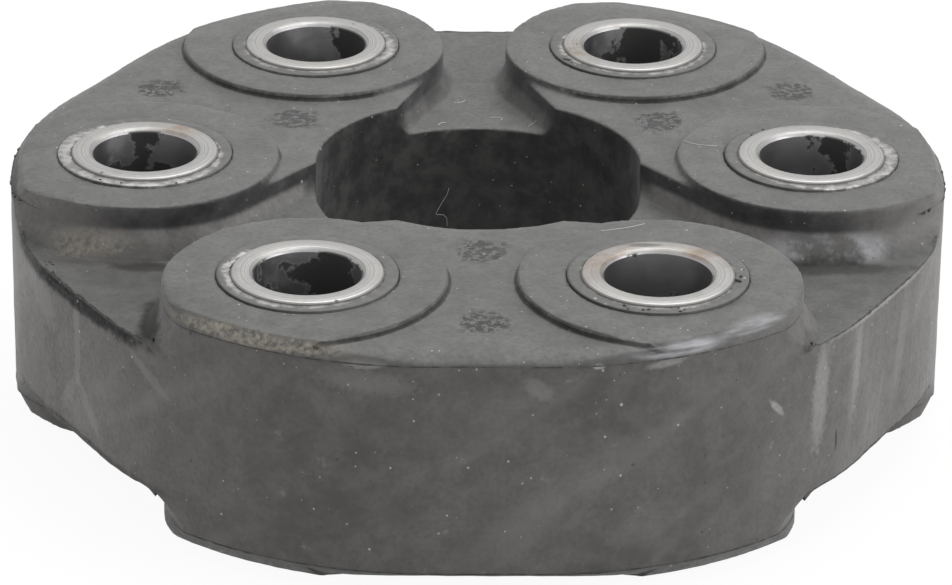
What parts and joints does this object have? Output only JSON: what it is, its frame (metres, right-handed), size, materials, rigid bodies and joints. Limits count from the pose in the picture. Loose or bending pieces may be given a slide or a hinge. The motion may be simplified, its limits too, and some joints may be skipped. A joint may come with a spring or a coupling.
{
  "type": "driveshaft flex disc",
  "caption": "Rubber coupling disc with steel bolt sleeves on a circle, raised lobes with pockets between them, and a round centre hole; joins two shaft flanges.",
  "frame": {"origin": "on the disc's axis, in the plane of the lower sleeve faces", "axes": "+Z along the disc's axis, -Y towards the front pair of bolts, +X to the right of it"},
  "size_m": [0.1092, 0.106, 0.0305],
  "materials": {
    "rubber": "matte, moulded",
    "turned_steel": "turned, lightly stained",
    "collar_steel": "dull, partly rubber-skinned",
    "cord": "wound polyester cord"
  },
  "bodies": {
    "root": {"rubber_body": "rubber", "sleeve_1": "turned_steel", "sleeve_2": "turned_steel", "sleeve_3": "turned_steel", "sleeve_4": "turned_steel", "sleeve_5": "turned_steel", "sleeve_6": "turned_steel", "upper_collar_1": "collar_steel", "upper_collar_2": "collar_steel", "upper_collar_3": "collar_steel", "upper_collar_4": "collar_steel", "upper_collar_5": "collar_steel", "upper_collar_6": "collar_steel", "lower_collar_1": "collar_steel", "lower_collar_2": "collar_steel", "lower_collar_3": "collar_steel", "lower_collar_4": "collar_steel", "lower_collar_5": "collar_steel", "lower_collar_6": "collar_steel", "upper_cord_loop_1": "cord", "upper_cord_loop_2": "cord", "upper_cord_loop_3": "cord", "lower_cord_loop_1": "cord", "lower_cord_loop_2": "cord", "lower_cord_loop_3": "cord", "middle_cord_loop_1": "cord", "middle_cord_loop_2": "cord", "middle_cord_loop_3": "cord"}
  },
  "joints": []
}
